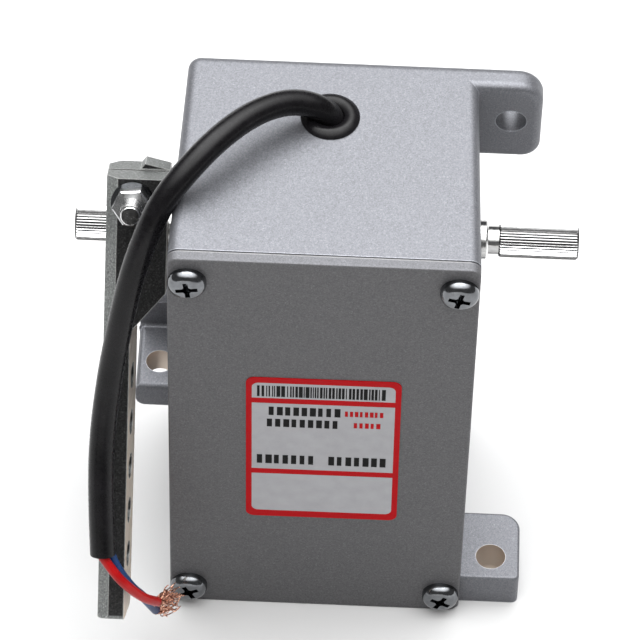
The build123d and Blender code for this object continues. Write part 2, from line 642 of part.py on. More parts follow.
with BuildPart() as cable_grommet:
    # domed flange: a low outer rim that rises to a ring around the cable
    with BuildSketch(Plane.XZ.offset(-GROMMET_XY[1])):
        with BuildLine():
            flange = [(GROMMET_XY[0] + r, CASE_H + z) for r, z in (
                (GROMMET_D / 2, 0.35), (0.89 * GROMMET_D / 2, 1.05), (0.72 * GROMMET_D / 2, 1.5),
                (0.58 * GROMMET_D / 2, 1.2), (3.1, 0.5))]
            Spline(*flange)
            Polyline(flange[-1], (GROMMET_XY[0], CASE_H + 0.5), (GROMMET_XY[0], CASE_H),
                     (GROMMET_XY[0] + GROMMET_D / 2, CASE_H), flange[0])
        make_face()
    revolve(axis=Axis((*GROMMET_XY, 0), (0, 0, 1)))
    with BuildSketch(Plane.XY.offset(CASE_H - WALL)):
        with Locations(GROMMET_XY):
            Circle(5.0)
    extrude(amount=WALL)
    with BuildSketch(Plane.XY.offset(CASE_H - WALL)):
        with Locations(GROMMET_XY):
            Circle(6.6)
    extrude(amount=-1.5)
    add(cable.part, mode=Mode.SUBTRACT)
print("grommet", cable_grommet.part.is_valid, len(cable_grommet.part.solids()))
save(cable_grommet, "cable_grommet", "cable grommet")

for route, name in ((RED, "red_wire"), (BLUE, "blue_wire"),
                    (INNER_RED, "inner_red_lead"), (INNER_BLUE, "inner_blue_lead")):
    with BuildPart() as wire:
        run_length = tube(route, WIRE_D, name)
        report_volume(name, wire.part, run_length, WIRE_D)
    save(wire, name, name.replace("_", " "))

# bared copper ends, each a small fan of strands
STRAND_D = 0.35
for route, fan, name in ((RED, Vector(4.2, 4.7, -3.3), "red_strands"),
                         (BLUE, Vector(4.2, 3.9, -3.0), "blue_strands")):
    end = Vector(route[-1])
    ahead = (end - Vector(route[-2])).normalized()
    face = Plane(origin=end, z_dir=ahead)
    with BuildPart() as strands:
        for i in range(7):
            a = i * math.pi / 3
            spoke = Vector(0, 0, 0) if i == 6 else face.x_dir * math.cos(a) + face.y_dir * math.sin(a)
            root = end + spoke * 0.72
            reach = fan * (0.86 + 0.07 * (i * 3 % 5))
            corners = (root, root + ahead * 1.6 + spoke * 0.25, root + reach + spoke * 1.5)
            with BuildLine() as spread:
                FilletPolyline(*corners, radius=bend_radii(corners))
            with BuildSketch(Plane(origin=root, z_dir=corners[1] - root)) as strand_end:
                Circle(STRAND_D / 2)
            sweep(strand_end.sketch, path=spread.line)
    print(name, "solids", len(strands.part.solids()))
    save(strands, name, name.replace("_", " "))

# ---- clamp lever --------------------------------------------------------------------------
hub_out, hub_in = LEVER_X
arm_rear, arm_front = LEVER_ARM_X
with BuildPart() as clamp_lever:
    # hub, with a slope down to the arm that ends inside the arm
    slope = (HUB_SLOPE[1] - HUB_SLOPE[0]) / (hub_in - arm_rear)
    slope_x = arm_front - 0.4
    slope_end = HUB_SLOPE[1] + slope * (arm_rear - slope_x)
    with BuildSketch(lever_plane(-LEVER_W / 2)):
        Polygon((hub_out, -LEVER_TOP), (hub_in, -LEVER_TOP), (hub_in, -HUB_SLOPE[0]),
                (slope_x, -slope_end), (hub_out, -slope_end), align=None)
    extrude(amount=LEVER_W)
    # arm, thinner towards its front edge
    down = -lever_plane().y_dir
    root = Plane(origin=Vector(0, 0, SHAFT_Z) + down * ARM_FROM, x_dir=(1, 0, 0), z_dir=down)
    with BuildSketch(root):
        Polygon((hub_out, -LEVER_W / 2), (arm_rear, -LEVER_W / 2),
                (arm_front, LEVER_W / 2), (hub_out, LEVER_W / 2), align=None)
    extrude(amount=LEVER_TIP - ARM_FROM)
    # side outline, a little narrower at the tip
    front = Plane(origin=(-60, 0, SHAFT_Z), x_dir=lever_plane().z_dir, z_dir=(1, 0, 0))
    sign = 1 if front.y_dir.Z > 0 else -1
    w, wt = LEVER_W / 2, LEVER_W_TIP / 2
    with BuildSketch(front):
        Polygon((-wt, -sign * (LEVER_TIP + 1)), (-w, -sign * 20.0), (-w, -sign * LEVER_TOP),
                (w, -sign * LEVER_TOP), (w, -sign * 20.0), (wt, -sign * (LEVER_TIP + 1)), align=None)
    extrude(amount=40, mode=Mode.INTERSECT)
    outer = [e for e in clamp_lever.edges() if abs(e.center().X - hub_out) < 0.01
             and -LEVER_TIP + 0.5 < in_lever(e).Y < -LEVER_TOP - 0.5]
    chamfer(outer, LEVER_BEVEL)
    tip = [e for e in clamp_lever.edges().filter_by(Axis.X) if abs(in_lever(e).Z) > wt - 0.3
           and in_lever(e).Y < -LEVER_TIP + 0.5]
    fillet(tip, LEVER_TIP_R)
    # low ridge on the rear half of the clamp
    with BuildSketch(lever_plane(-7)):
        Polygon((-43.2, -LEVER_TOP), (-42.2, -LEVER_TOP + 1.3), (hub_in, -LEVER_TOP), align=None)
    extrude(amount=6)
    # splined bore, clamp slot, bolt hole and link holes
    with BuildSketch(yz(-60)):
        Polygon(*spline_points(SPLINE_D / 2 + 0.05, SPLINE_D / 2 - 0.37), align=None)
    extrude(amount=30, mode=Mode.SUBTRACT)
    with BuildSketch(yz(hub_in)):
        Circle(STEM_D / 2 + 0.15)
    extrude(amount=-0.9, mode=Mode.SUBTRACT)
    with BuildSketch(lever_plane(-0.4)):
        Polygon((-60, 3.0), (-30, 3.0), (-30, 20), (-60, 20), align=None)
    extrude(amount=0.8, mode=Mode.SUBTRACT)
    with BuildSketch(lever_plane(-12)):
        with Locations((PINCH_X, -PINCH_U)):
            Circle(2.65)
    extrude(amount=24, mode=Mode.SUBTRACT)
    with BuildSketch(front):
        with Locations(*[(0, -sign * u) for u in LEVER_HOLES]):
            Circle(LEVER_HOLE_D / 2)
    extrude(amount=40, mode=Mode.SUBTRACT)
print("lever", clamp_lever.part.is_valid, len(clamp_lever.part.solids()),
      clamp_lever.part.bounding_box())
save(clamp_lever, "clamp_lever", "clamp lever")

HEX_AF = 8.0
with BuildPart() as pinch_bolt:
    with BuildSketch(lever_plane(-7)):
        with Locations((PINCH_X, -PINCH_U)):
            RegularPolygon(HEX_AF / 2, 6, major_radius=False, rotation=12)
    extrude(amount=-3.5)
    with BuildSketch(lever_plane(-7)):
        with Locations((PINCH_X, -PINCH_U)):
            Circle(PINCH_D / 2)
    extrude(amount=7 + PINCH_END)
    chamfer(pinch_bolt.faces().sort_by(Axis(Vector(0, 0, 0), lever_plane().z_dir))[-1].edges(), 0.5)
save(pinch_bolt, "pinch_bolt", "pinch bolt")

with BuildPart() as pinch_washer:
    with BuildSketch(lever_plane(7)):
        with Locations((PINCH_X, -PINCH_U)):
            Circle(5.0)
            Circle(PINCH_D / 2 + 0.15, mode=Mode.SUBTRACT)
    extrude(amount=1)
save(pinch_washer, "pinch_washer", "pinch washer")

with BuildPart() as pinch_nut:
    with BuildSketch(lever_plane(8)):
        with Locations((PINCH_X, -PINCH_U)):
            RegularPolygon(HEX_AF / 2, 6, major_radius=False, rotation=5)
            Circle(PINCH_D / 2, mode=Mode.SUBTRACT)
    extrude(amount=4)
    crown = [e for e in pinch_nut.edges() if lever_plane(12).to_local_coords(e.center()).Z > -0.01
             and e.geom_type == GeomType.LINE]
    chamfer(crown, 0.35)
save(pinch_nut, "pinch_nut", "pinch nut")
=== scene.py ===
"""Looks for the spring-return rotary actuator: camera, materials, cable, spring, label, light."""
import json
import math
import random

import bmesh
import bpy
from mathutils import Matrix, Vector


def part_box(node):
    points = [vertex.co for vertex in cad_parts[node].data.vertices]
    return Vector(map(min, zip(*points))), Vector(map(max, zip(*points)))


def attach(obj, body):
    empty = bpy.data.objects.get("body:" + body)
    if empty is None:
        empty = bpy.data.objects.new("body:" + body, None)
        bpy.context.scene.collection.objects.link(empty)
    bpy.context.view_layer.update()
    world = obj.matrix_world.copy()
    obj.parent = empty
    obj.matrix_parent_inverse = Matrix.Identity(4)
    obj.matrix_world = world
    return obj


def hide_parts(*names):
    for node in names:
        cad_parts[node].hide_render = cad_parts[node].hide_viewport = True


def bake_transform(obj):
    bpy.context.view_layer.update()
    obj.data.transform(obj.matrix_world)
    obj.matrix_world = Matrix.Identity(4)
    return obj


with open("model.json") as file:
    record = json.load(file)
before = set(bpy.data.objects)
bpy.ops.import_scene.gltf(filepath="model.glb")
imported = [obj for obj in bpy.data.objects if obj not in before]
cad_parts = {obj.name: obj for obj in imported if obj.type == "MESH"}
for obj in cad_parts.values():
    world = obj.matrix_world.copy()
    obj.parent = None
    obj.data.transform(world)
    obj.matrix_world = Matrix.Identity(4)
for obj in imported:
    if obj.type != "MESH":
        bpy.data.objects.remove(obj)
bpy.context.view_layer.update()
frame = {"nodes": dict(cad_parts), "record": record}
MM = 0.001


def mm(*p):
    """A point given in millimetres."""
    return Vector([c * MM for c in p])


# ---- camera --------------------------------------------------------------------------------
CAMERA_AT = mm(10.4, -697.0, 959.6)
YAW, PITCH, ROLL = math.radians(0.94), math.radians(51.82), math.radians(1.61)
LENS, SENSOR = 269.8, 36.0

ahead = Vector((-math.sin(YAW) * math.cos(PITCH), math.cos(YAW) * math.cos(PITCH), -math.sin(PITCH)))
level = Vector((math.cos(YAW), math.sin(YAW), 0))
upright = level.cross(ahead)
right = level * math.cos(ROLL) + upright * math.sin(ROLL)
up = upright * math.cos(ROLL) - level * math.sin(ROLL)
camera = bpy.data.objects.new("camera", bpy.data.cameras.new("camera"))
camera.data.lens = LENS
camera.data.sensor_width = SENSOR
camera.data.clip_end = 20
camera.matrix_world = Matrix((
    (right.x, up.x, -ahead.x, CAMERA_AT.x),
    (right.y, up.y, -ahead.y, CAMERA_AT.y),
    (right.z, up.z, -ahead.z, CAMERA_AT.z),
    (0, 0, 0, 1)))
bpy.context.collection.objects.link(camera)
bpy.context.scene.camera = camera


# ---- node helpers --------------------------------------------------------------------------
MIX_COLOUR_A, MIX_COLOUR_B, MIX_COLOUR_OUT = 6, 7, 2  # colour sockets of the mix node


class Nodes:
    """A material's node tree, with short calls for the nodes used here."""

    def __init__(self, name, **fixed):
        self.mat = bpy.data.materials.new(name)
        self.mat.use_nodes = True
        self.tree = self.mat.node_tree
        self.shader = self.tree.nodes["Principled BSDF"]
        self.where = self.tree.nodes.new("ShaderNodeTexCoord")
        for socket, value in fixed.items():
            self.shader.inputs[socket.replace("_", " ")].default_value = value

    def link(self, a, b):
        self.tree.links.new(a, b)

    def put(self, value, socket):
        """Link another node's output to the socket, or set a plain number or colour on it."""
        if hasattr(value, "links"):
            self.link(value, socket)
        elif socket.type == "VALUE":
            socket.default_value = value
        else:
            socket.default_value = (*value, 1)

    def noise(self, scale, detail=4.0, rough=0.55, stretch=None):
        n = self.tree.nodes.new("ShaderNodeTexNoise")
        n.inputs["Scale"].default_value = scale
        n.inputs["Detail"].default_value = detail
        n.inputs["Roughness"].default_value = rough
        source = self.where.outputs["Object"]
        if stretch:
            m = self.tree.nodes.new("ShaderNodeMapping")
            m.inputs["Scale"].default_value = stretch
            self.link(source, m.inputs["Vector"])
            source = m.outputs["Vector"]
        self.link(source, n.inputs["Vector"])
        return n.outputs["Fac"]

    def cells(self, scale):
        n = self.tree.nodes.new("ShaderNodeTexVoronoi")
        n.inputs["Scale"].default_value = scale
        self.link(self.where.outputs["Object"], n.inputs["Vector"])
        return n.outputs["Color"]

    def ramp(self, fac, *stops):
        n = self.tree.nodes.new("ShaderNodeValToRGB")
        elements = n.color_ramp.elements
        while len(elements) < len(stops):
            elements.new(0.5)
        for e, (pos, colour) in zip(elements, stops):
            e.position = pos
            e.color = (*colour, 1)
        self.link(fac, n.inputs["Fac"])
        return n.outputs["Color"]

    def span(self, fac, low, high, from_low=0.3, from_high=0.7):
        n = self.tree.nodes.new("ShaderNodeMapRange")
        n.inputs["From Min"].default_value = from_low
        n.inputs["From Max"].default_value = from_high
        n.inputs["To Min"].default_value = low
        n.inputs["To Max"].default_value = high
        self.link(fac, n.inputs["Value"])
        return n.outputs["Result"]

    def mix(self, fac, a, b, kind="MIX"):
        n = self.tree.nodes.new("ShaderNodeMix")
        n.data_type = "RGBA"
        n.blend_type = kind
        self.put(fac, n.inputs["Factor"])
        self.put(a, n.inputs[MIX_COLOUR_A])
        self.put(b, n.inputs[MIX_COLOUR_B])
        return n.outputs[MIX_COLOUR_OUT]

    def maths(self, what, a, b=0.5):
        n = self.tree.nodes.new("ShaderNodeMath")
        n.operation = what
        self.put(a, n.inputs[0])
        self.put(b, n.inputs[1])
        return n.outputs[0]

    def vector_maths(self, what, source, other):
        """A vector operation between another node's output and a fixed vector or an output."""
        n = self.tree.nodes.new("ShaderNodeVectorMath")
        n.operation = what
        self.link(source, n.inputs[0])
        if hasattr(other, "links"):
            self.link(other, n.inputs[1])
        else:
            n.inputs[1].default_value = other
        return n.outputs["Value"]

    def facing(self, direction, low, high):
        """1 where the surface faces the direction, in the object's own axes."""
        turned = self.vector_maths("DOT_PRODUCT", self.where.outputs["Normal"], direction)
        return self.span(turned, 0, 1, low, high)

    def from_axis(self, spot, across):
        """Distance from the axis through the spot; across is 1 on the two axes square to it."""
        flat = self.tree.nodes.new("ShaderNodeMapping")
        flat.inputs["Scale"].default_value = across
        self.link(self.where.outputs["Object"], flat.inputs["Vector"])
        return self.vector_maths("DISTANCE", flat.outputs["Vector"], spot)

    def near_upright(self, x, y, radius):
        """1 inside this radius of an upright axis."""
        return self.maths("LESS_THAN", self.from_axis((x, y, 0), (1, 1, 0)), radius)

    def low_down(self, low, high):
        """0 at the lower height and 1 at the upper one."""
        n = self.tree.nodes.new("ShaderNodeSeparateXYZ")
        self.link(self.where.outputs["Object"], n.inputs[0])
        return self.span(n.outputs["Z"], 0, 1, low, high)

    def edges(self, radius, low=0.01, high=0.13):
        """1 near the object's edges, from a bevelled normal."""
        bevel = self.tree.nodes.new("ShaderNodeBevel")
        bevel.inputs["Radius"].default_value = radius
        geometry = self.tree.nodes.new("ShaderNodeNewGeometry")
        same = self.vector_maths("DOT_PRODUCT", bevel.outputs["Normal"], geometry.outputs["Normal"])
        return self.span(self.maths("SUBTRACT", 1.0, same), 0, 1, low, high)

    def waves(self, direction, scale, distortion):
        n = self.tree.nodes.new("ShaderNodeTexWave")
        n.bands_direction = direction
        n.inputs["Scale"].default_value = scale
        n.inputs["Distortion"].default_value = distortion
        self.link(self.where.outputs["Object"], n.inputs["Vector"])
        return n.outputs["Fac"]

    def bump(self, height, distance, strength, after=None):
        n = self.tree.nodes.new("ShaderNodeBump")
        n.inputs["Distance"].default_value = distance
        n.inputs["Strength"].default_value = strength
        self.link(height, n.inputs["Height"])
        if after is not None:
            self.link(after, n.inputs["Normal"])
        return n.outputs["Normal"]

    def finish(self, colour, rough, normal=None):
        self.link(colour, self.shader.inputs["Base Color"])
        self.link(rough, self.shader.inputs["Roughness"])
        if normal is not None:
            self.link(normal, self.shader.inputs["Normal"])
        return self.mat


def grey(value):
    return (value, value, value)


def shade(tone, factor):
    """The tone, darker or lighter by the factor."""
    return tuple(min(1, c * factor) for c in tone)


def silver_paint(name, tone, rough, metal=0.6, bores=()):
    """Metallic silver paint: fine flakes, a faint orange peel and slow shade changes, with painted
    light on upward faces, edge wear with painted edge highlights, and unpainted bores that are pale low
    down as painted light.
    """
    n = Nodes(name, Metallic=metal, Specular_IOR_Level=0.3)
    flakes = n.cells(4200)
    slow = n.noise(60, 3)
    grain = n.noise(3000, 3, 0.8)
    mottle = n.noise(1100, 3, 0.7)
    colour = n.ramp(grain, (0.30, shade(tone, 0.56)), (0.70, shade(tone, 1.46)))
    colour = n.mix(n.span(mottle, 0.0, 0.34), colour, shade(tone, 0.72))
    colour = n.mix(n.span(slow, 0.0, 0.10), colour, shade(tone, 1.2))
    sparkle = n.span(flakes, 0, 1, 0.80, 0.98)
    colour = n.mix(n.maths("MULTIPLY", sparkle, 0.34), colour, shade(tone, 2.4))
    # Painted light: upward faces are lightened halfway back to the case's tone; on the case itself this
    # changes nothing.
    painted_top_lift = tuple(0.5 + 0.5 * c / t for c, t in zip(CASE_SILVER, tone))
    upper = n.mix(1.0, colour, painted_top_lift, "MULTIPLY")
    colour = n.mix(n.facing((0, 0, 1), 0.6, 0.95), colour, upper)
    # Edge wear and painted edge highlights: edges lightened well above the paint's tone.
    paint_wear_and_glint = n.maths("MULTIPLY", n.edges(PAINT_EDGE, 0.01, 0.16), n.span(mottle, 0.20, 0.95))
    colour = n.mix(paint_wear_and_glint, colour, shade(tone, 3.6))
    for x, y, radius in bores:
        # Unpainted tan metal in the bores, with painted light making it pale near the bottom.
        bare_bore_and_painted_light = n.mix(n.low_down(*BORE_SHADE), (0.95, 0.88, 0.80), (0.60, 0.52, 0.45))
        colour = n.mix(n.near_upright(x, y, radius), colour, bare_bore_and_painted_light)
    peel = n.noise(700, 2)
    normal = n.bump(grain, 0.00007, 0.4, n.bump(peel, 0.0001, 0.2))
    return n.finish(colour, n.span(grain, rough - 0.06, rough + 0.08), normal)


def steel(name, tone, rough, scale):
    """Bare or plated metal, with a fine skin and faint warm stains."""
    n = Nodes(name, Metallic=1.0)
    skin = n.noise(scale, 4, 0.6)
    stain = n.noise(180, 4)
    colour = n.ramp(skin, (0.30, shade(tone, 0.72)), (0.72, shade(tone, 1.12)))
    colour = n.mix(n.span(stain, 0, 0.25), colour, (tone[0] * 0.55, tone[1] * 0.53, tone[2] * 0.5))
    return n.finish(colour, n.span(stain, rough - 0.06, rough + 0.10), n.bump(skin, 0.00002, 0.5))


def plastic(name, dark, light, rough, grain=1500, depth=0.00004, **fixed):
    """Moulded or extruded plastic and rubber, with a fine skin."""
    n = Nodes(name, **fixed)
    skin = n.noise(grain, 3)
    slow = n.noise(120, 3)
    colour = n.ramp(slow, (0.35, dark), (0.68, light))
    return n.finish(colour, n.span(skin, rough - 0.06, rough + 0.08), n.bump(skin, depth, 0.4))


# ---- materials, with lengths in metres -----------------------------------------------------
LEVER_TILT = math.radians(33)
LEVER_FRONT = (0.0, -math.cos(LEVER_TILT), math.sin(LEVER_TILT))
SHAFT_AXIS = (0.0, 0.0, 0.1055)
SPLINE_ROOT, SPLINE_TIP = 0.00370, 0.00405  # radii
SPLINE_CLEAR = 0.0002  # how far past those radii still counts as spline
BARE_BORES_PAINTED_LIGHT = ((0.0423, -0.0211, 0.00359), (-0.0398, 0.0125, 0.00331))  # x, y, radius of unpainted tan bores, pale low down as painted light
BORE_SHADE = (0.0002, 0.0016)  # heights between which a bore turns from pale painted light to the darker tan of its unpainted metal
PAINT_EDGE, LEVER_EDGE = 0.00045, 0.0004  # how far edge wear and painted edge highlights reach, on the paint and on the lever
THREAD_PITCH = 0.0008
CASE_SILVER = (0.142, 0.145, 0.158)
# The cover's tone is a darker copy of the case paint: painted shade on the cover's front face.
COVER_SILVER_SHADED = (0.100, 0.099, 0.103)
mats = {
    "cast_silver": silver_paint("cast_silver", CASE_SILVER, 0.42, bores=BARE_BORES_PAINTED_LIGHT),
    "cover_paint": silver_paint("cover_paint", COVER_SILVER_SHADED, 0.5, 0.45),
    "gasket_paper": plastic("gasket_paper", grey(0.24), grey(0.36), 0.7),
    # Zinc plating darkened well below its own tone: painted shade standing in for the screw heads' dark
    # reflections.
    "zinc_hardware": steel("zinc_hardware", (0.19, 0.197, 0.208), 0.12, 700),
    "bearing_steel": steel("bearing_steel", (0.70, 0.70, 0.71), 0.16, 1200),
    "cage_brass": steel("cage_brass", (0.74, 0.55, 0.24), 0.3, 900),
    "seal_rubber": plastic("seal_rubber", grey(0.012), grey(0.03), 0.62),
    "bobbin_plastic": plastic("bobbin_plastic", (0.62, 0.58, 0.50), (0.74, 0.70, 0.62), 0.5),
    "spring_steel": steel("spring_steel", (0.42, 0.42, 0.43), 0.32, 1500),
    "black_rubber": plastic("black_rubber", (0.0028, 0.0026, 0.003), (0.006, 0.0055, 0.0065), 0.27, 900,
                            0.00003, Specular_IOR_Level=0.19),
    "red_insulation": plastic("red_insulation", (0.27, 0.001, 0.002), (0.38, 0.004, 0.005), 0.36,
                              Specular_IOR_Level=0.22),
    "blue_insulation": plastic("blue_insulation", (0.003, 0.022, 0.085), (0.006, 0.040, 0.145), 0.36,
                               Specular_IOR_Level=0.22),
}


def laminations():
    """Stacked iron sheets, with lines square to the shaft."""
    n = Nodes("core_iron", Metallic=0.85)
    sheets = n.waves("X", 320, 0.2)
    rust = n.noise(260, 4)
    colour = n.ramp(sheets, (0.2, grey(0.10)), (0.8, grey(0.30)))
    colour = n.mix(n.span(rust, 0, 0.35), colour, (0.20, 0.13, 0.09))
    return n.finish(colour, n.span(rust, 0.4, 0.6), n.bump(sheets, 0.0001, 0.5))


def winding():
    """Amber tape over a wound coil, with wraps and a soft bulge of the wires below."""
    n = Nodes("winding_tape", Coat_Weight=0.3, Coat_Roughness=0.2)
    wraps = n.waves("Y", 210, 0.4)
    slow = n.noise(90, 3)
    colour = n.ramp(slow, (0.3, (0.40, 0.20, 0.04)), (0.7, (0.62, 0.36, 0.08)))
    return n.finish(colour, n.span(slow, 0.30, 0.45), n.bump(wraps, 0.0002, 0.6))


def copper():
    """Bright copper strands, a little tarnished."""
    n = Nodes("bare_copper", Metallic=1.0)
    stain = n.noise(1400, 3)
    colour = n.ramp(stain, (0.38, (0.17, 0.05, 0.03)), (0.62, (0.80, 0.46, 0.33)))
    return n.finish(colour, n.span(stain, 0.22, 0.42), n.bump(stain, 0.00003, 0.4))


def lever_metal():
    """Cast zinc lever: dark sandy front, paler ground bevels and a tan machined inner side."""
    n = Nodes("cast_zinc", Metallic=0.75)
    pits = n.noise(2300, 5, 0.85)
    slow = n.noise(150, 4)
    cast = n.ramp(pits, (0.36, grey(0.03)), (0.52, (0.17, 0.18, 0.175)), (0.68, (0.50, 0.51, 0.50)))
    cast = n.mix(n.span(slow, 0, 0.25), cast, (0.20, 0.21, 0.205))
    dark = n.ramp(pits, (0.38, grey(0.008)), (0.56, grey(0.030)), (0.76, grey(0.14)))
    cut = n.noise(600, 4, 0.6, (1, 0.15, 1))
    machined = n.ramp(cut, (0.3, (0.80, 0.68, 0.55)), (0.7, (1.0, 0.90, 0.78)))
    colour = n.mix(n.facing(LEVER_FRONT, 0.90, 0.97), cast, dark)
    colour = n.mix(n.facing((1, 0, 0), 0.80, 0.95), colour, machined)
    # Edge wear and painted edge highlights: edges lightened to pale metal.
    lever_wear_and_glint = n.edges(LEVER_EDGE)
    colour = n.mix(n.maths("MULTIPLY", lever_wear_and_glint, 0.7), colour, (0.80, 0.80, 0.78))
    return n.finish(colour, n.span(pits, 0.30, 0.52), n.bump(pits, 0.00018, 0.75))


def shaft_steel():
    """Ground steel, with painted shade in the roots between the spline teeth and painted highlights on
    their tips.
    """
    n = Nodes("shaft_steel", Metallic=1.0)
    radius = n.from_axis(SHAFT_AXIS, (0, 1, 1))
    tooth = n.span(radius, 0, 1, SPLINE_ROOT, SPLINE_TIP)
    on_spline = n.maths("MULTIPLY", n.maths("LESS_THAN", radius, SPLINE_TIP + SPLINE_CLEAR),
                        n.maths("GREATER_THAN", radius, SPLINE_ROOT - SPLINE_CLEAR))
    lines = n.noise(420, 4, 0.6, (1, 6, 6))
    ground = n.ramp(lines, (0.30, grey(0.36)), (0.70, (0.58, 0.58, 0.57)))
    # Painted shade and highlight: dark at the spline roots, bright at the tips, by radius from the
    # shaft's axis.
    painted_tooth_shade = n.ramp(tooth, (0.05, grey(0.04)), (0.40, grey(0.60)), (1.0, grey(0.95)))
    colour = n.mix(on_spline, ground, painted_tooth_shade)
    wear = n.noise(1500, 3)
    return n.finish(colour, n.span(wear, 0.14, 0.26), n.bump(wear, 0.00003, 0.4))


def threaded_zinc():
    """Plated bolt, with thread grooves along it as bumps and as painted shade and highlights, and dark
    end faces.
    """
    n = Nodes("threaded_zinc", Metallic=1.0)
    along = n.vector_maths("DOT_PRODUCT", n.where.outputs["Object"], LEVER_FRONT)
    turns = n.maths("SINE", n.maths("MULTIPLY", along, 2 * math.pi / THREAD_PITCH))
    thread_relief_and_shade = n.span(turns, 0, 1, -0.8, 0.8)
    stain = n.noise(900, 3)
    end_face = n.facing(LEVER_FRONT, 0.93, 0.98)
    # Painted shade in the thread grooves and painted highlights on their crests.
    colour = n.ramp(thread_relief_and_shade, (0.0, grey(0.10)), (0.8, grey(0.88)))
    colour = n.mix(end_face, colour, grey(0.16))
    colour = n.mix(n.span(stain, 0, 0.3), colour, (0.42, 0.42, 0.41))
    return n.finish(colour, n.span(stain, 0.16, 0.30), n.bump(thread_relief_and_shade, 0.0002, 0.8))


mats["core_iron"] = laminations()
mats["winding_tape"] = winding()
mats["bare_copper"] = copper()
mats["cast_zinc"] = lever_metal()
mats["shaft_steel"] = shaft_steel()


def print_mat(name, colour, rough):
    """Printed film: one ink, with a faint paper grain and shade."""
    n = Nodes(name, Specular_IOR_Level=0.06)
    slow = n.noise(300, 3)
    ink = n.ramp(slow, (0.3, shade(colour, 0.90)), (0.7, colour))
    paper = n.bump(n.noise(1800, 2), 0.00002, 0.3)
    return n.finish(ink, n.span(slow, rough - 0.04, rough + 0.06), paper)


mats["printed_film"] = print_mat("printed_film", (0.38, 0.003, 0.006), 0.5)
FIELD_INK = print_mat("label_field", (0.36, 0.36, 0.375), 0.45)
DARK_INK = print_mat("label_dark", grey(0.007), 0.5)

slot_of = {s["node"]: s["material_slot"] for s in frame["record"]["subparts"]}
for node, obj in frame["nodes"].items():
    obj.data.materials.clear()
    obj.data.materials.append(mats[slot_of[node]])
frame["nodes"]["pinch_bolt"].data.materials[0] = threaded_zinc()
# A lighter copy of the zinc plating for the nut: painted light.
painted_light_zinc = steel("painted_light_zinc", (0.58, 0.59, 0.60), 0.22, 700)
frame["nodes"]["pinch_nut"].data.materials[0] = painted_light_zinc


# ---- cable and wires, in millimetres -------------------------------------------------------
CABLE = ((0.9, 12.8, 125.0), (0.9, 12.8, 130.2), (-2.4, 12.4, 135.4), (-9.2, 11.2, 138.6),
         (-17.2, 5.6, 140.6), (-24.8, -2.6, 140.9), (-31.5, -10.1, 138.1), (-37.0, -15.0, 132.3),
         (-40.6, -19.2, 124.2), (-43.6, -23.0, 114.2), (-46.0, -26.2, 101.8),
         (-48.4, -30.0, 87.0), (-50.0, -37.0, 72.6), (-49.9, -45.4, 60.0), (-49.1, -52.5, 48.6))
CABLE_D, CABLE_LENGTH = 6.0, 153.2
RED = ((-49.4, -53.3, 49.4), (-47.5, -54.5, 46.7), (-45.4, -56.0, 44.3), (-42.9, -56.4, 41.0),
       (-40.3, -55.0, 35.7), (-38.4, -53.0, 31.4), (-36.8, -50.7, 27.6))
BLUE = ((-47.8, -51.3, 48.5), (-46.8, -52.2, 45.8), (-45.5, -53.0, 42.9), (-43.9, -53.4, 39.8),
        (-42.1, -52.4, 34.6), (-40.4, -50.1, 29.0), (-38.9, -47.3, 21.9), (-37.6, -44.9, 15.8))
WIRE_D = 2.3


def round_curve(name, radius, sides, steps):
    """An empty round curve, with no spline yet."""
    data = bpy.data.curves.new(name, "CURVE")
    data.dimensions = "3D"
    data.bevel_depth = radius
    data.bevel_resolution = sides
    data.resolution_u = steps
    data.use_fill_caps = True
    return data


def smooth_spline(data, points):
    """Add an open NURBS spline with these control points, in metres."""
    spline = data.splines.new("NURBS")
    spline.points.add(len(points) - 1)
    for p, q in zip(spline.points, points):
        p.co = (*q, 1)
    spline.order_u = 3
    spline.use_endpoint_u = True


def fixed_piece(name, data, slot, node):
    """Make the curve a piece that rides on the case and stands for the CAD node."""
    data.materials.append(mats[slot])
    obj = bpy.data.objects.new(name, data)
    bpy.context.collection.objects.link(obj)
    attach(obj, "actuator_body")
    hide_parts(node)
    return obj


def cord(name, points, diameter, slot, node):
    """Round smooth cord with these points, in millimetres, as its control points."""
    data = round_curve(name, diameter * MM / 2, 7, 12)
    smooth_spline(data, [mm(*q) for q in points])
    return fixed_piece(name, data, slot, node)


cable = cord("cable_jacket", CABLE, CABLE_D, "black_rubber", "cable")
red = cord("red_core", RED, WIRE_D, "red_insulation", "red_wire")
blue = cord("blue_core", BLUE, WIRE_D, "blue_insulation", "blue_wire")

STRANDS = 44
STRAND_R = 0.13
BUNDLE_R = 0.92          # of the strands inside the insulation
STRAND_INSET = 0.4       # the strands start this far inside it
STRAND_LEAD = (1.0, 0.3)  # where a strand leaves it: along the wire and outward
STRAND_OPENING = 1.5
CURL, CURL_GROWTH = 0.4, 0.5
GOLDEN_TURN = 2.399963   # radians from one strand to the next, so that they spread evenly


